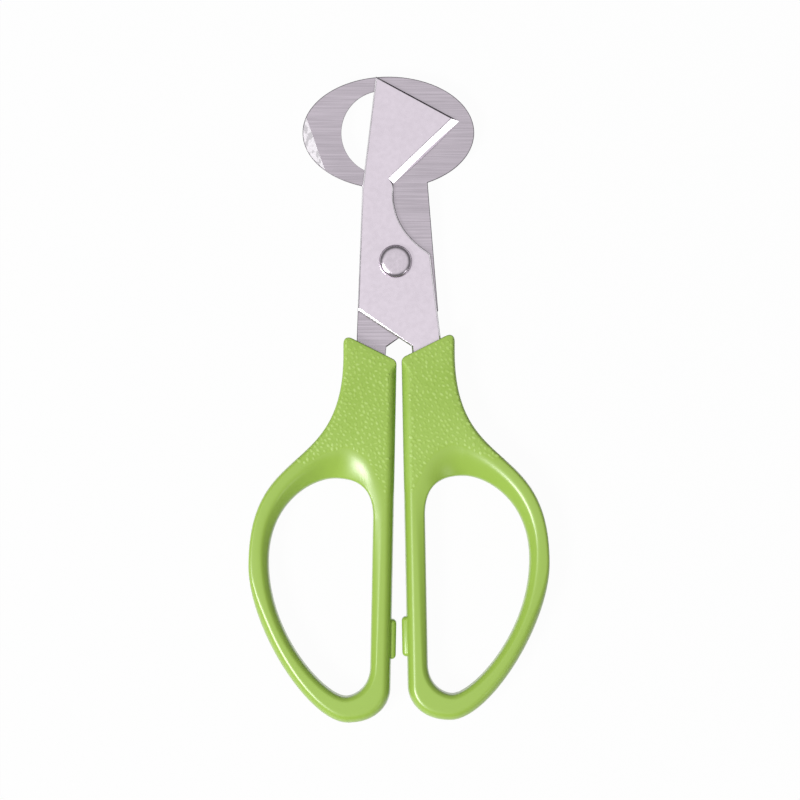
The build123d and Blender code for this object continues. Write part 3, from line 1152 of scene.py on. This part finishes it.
# %% Scatter the pebbles
PEBBLE_GAP = 0.9
PEBBLE_TRIES = 12000
PEBBLE_INSET = 0.6
PEBBLE_GAP_INSET = 1.7
PEBBLE_FEEL = 0.1
PEBBLE_HALF = (0.8, 0.46, 0.15)
PEBBLE_GLINT = (0.2, 0.75)
PEBBLE_GRAIN = 0.3
PEBBLE_STEPS = np.eye(2) * PEBBLE_FEEL
PEBBLE_FIELD_X = (-24, -0.6)
PEBBLE_FIELD_Y = (-24, 15)
PEBBLE_THIN_OUT = (0.15, 0.6)
PEBBLE_SIZES = (0.8, 1.2)
PEBBLE_TURN = -52
PEBBLE_TURN_SPREAD = 20
SIZE_SEED = 50
GLINT_SEED = 90


def pebble_spots(seed):
    """Places on the grip, thinned out at its borders and a set distance apart."""
    chance = np.random.default_rng(seed)
    tries_x = chance.uniform(*PEBBLE_FIELD_X, PEBBLE_TRIES)
    tries_y = chance.uniform(*PEBBLE_FIELD_Y, PEBBLE_TRIES)
    tries = np.column_stack((tries_x, tries_y))
    share = grip_share(tries)
    index = nearest(tries, outer_line)[1]
    inside = ((tries - outer_line[index]) * outer_inward[index]).sum(axis=1) > PEBBLE_INSET
    off_gap = tries[:, 0] < -GAP_HALF - (GAP_TOP_Y - tries[:, 1]) * GAP_LEAN - PEBBLE_GAP_INSET
    wanted = tries[inside & off_gap & (share > chance.uniform(*PEBBLE_THIN_OUT, PEBBLE_TRIES))]
    kept = np.zeros((0, 2))
    for try_spot in wanted:
        if len(kept) == 0 or np.hypot(*(kept - try_spot).T).min() > PEBBLE_GAP:
            kept = np.vstack((kept, try_spot))
    return kept


def add_pebbles(bm, seed, underneath, shift, side):
    """Set low pebbles on one face of a handle, and say how many there are."""
    chance = np.random.default_rng(seed + SIZE_SEED)
    mirror_z = Matrix.Translation((0, 0, THICKNESS)) @ Matrix.Diagonal((1, 1, -1, 1))
    mirror_y = Matrix.Diagonal((1, -1, 1, 1))
    spots = pebble_spots(seed)
    levels = THICKNESS - face_drop(spots)
    leans = []
    for step in PEBBLE_STEPS:
        leans.append((face_drop(spots + step) - face_drop(spots - step)) / (2 * PEBBLE_FEEL))
    for (x, y), level, lean_x, lean_y in zip(spots, levels, *leans):
        size = chance.uniform(*PEBBLE_SIZES)
        turn = Matrix.Rotation(math.radians(chance.normal(PEBBLE_TURN, PEBBLE_TURN_SPREAD)), 4, "Z")
        normal = Vector((side * lean_x, lean_y, 1))
        lean = UP.rotation_difference(normal).to_matrix().to_4x4()
        form = Matrix.Diagonal([half * size for half in PEBBLE_HALF] + [1])
        put = Matrix.Translation((side * x, y + shift, level)) @ lean @ turn @ form
        if underneath:
            put = mirror_z @ put @ mirror_y
        copy = pebble.copy()
        copy.transform(Matrix.Scale(MM, 4) @ put)
        bm.from_mesh(copy)
        bpy.data.meshes.remove(copy)
    return len(spots)


# %% Handle pieces
HANDLE_SHARP = 35
RIGHT_SHIFT = 0.6


def handle(name, body, node, blade, side, shift, seed):
    """One handle: its moulding, stop, slot and pebbles. The right one is the left one mirrored."""
    place = Matrix.Diagonal((side * MM, MM, MM, 1)) @ Matrix.Translation((0, shift, 0))
    skin = bmesh.new()
    skin.from_mesh(moulding)
    bmesh.ops.transform(skin, matrix=place, verts=skin.verts[:])
    stop = stop_block()
    bmesh.ops.transform(stop, matrix=place, verts=stop.verts[:])
    for bm in (skin, stop):
        bmesh.ops.recalc_face_normals(bm, faces=bm.faces[:])
    piece = finished(name, skin, body, node, handle_green)
    with_tool(piece, stop, "UNION")
    with_tool(piece, tang_cutter(blade), "DIFFERENCE")
    bm = bmesh.new()
    bm.from_mesh(piece.data)
    grain_layer = bm.verts.layers.float.new("grain")
    flat = np.array([(side * vert.co.x / MM, vert.co.y / MM - shift) for vert in bm.verts])
    for vert, share in zip(bm.verts, grip_share(flat)):
        vert[grain_layer] = share
    skin_count = len(bm.verts)
    pebbles = add_pebbles(bm, seed, False, shift, side) + add_pebbles(bm, seed + 1, True, shift, side)
    # Painted highlight: each pebble gets a value that rises towards its top, at a random strength, for its
    # painted glint.
    glint_layer = bm.verts.layers.float.new("tip")
    glint_shares = [max(vert.co.z, 0) / (1 - PEBBLE_SUNK) for vert in pebble.vertices]
    pale = np.random.default_rng(seed + GLINT_SEED).uniform(*PEBBLE_GLINT, pebbles)
    bm.verts.ensure_lookup_table()
    for number, vert in enumerate(bm.verts[skin_count:]):
        vert[grain_layer] = PEBBLE_GRAIN
        vert[glint_layer] = glint_shares[number % len(glint_shares)] * pale[number // len(glint_shares)]
    bm.to_mesh(piece.data)
    bm.free()
    piece.data.shade_smooth()
    piece.data.set_sharp_from_angle(angle=math.radians(HANDLE_SHARP))
    print(name, "with", pebbles, "pebbles,", len(piece.data.polygons), "faces")


handle("left_handle_moulding", "ring_half", "left_handle", "ring_blade", side=1, shift=0.0, seed=11)
handle(
    "right_handle_moulding",
    "cutter_half",
    "right_handle",
    "cutter_blade",
    side=-1,
    shift=RIGHT_SHIFT,
    seed=21,
)

# %% [markdown]
# ## View
# The picture is made with the Standard view transform.

# %% View transform
scene.view_settings.view_transform = "Standard"
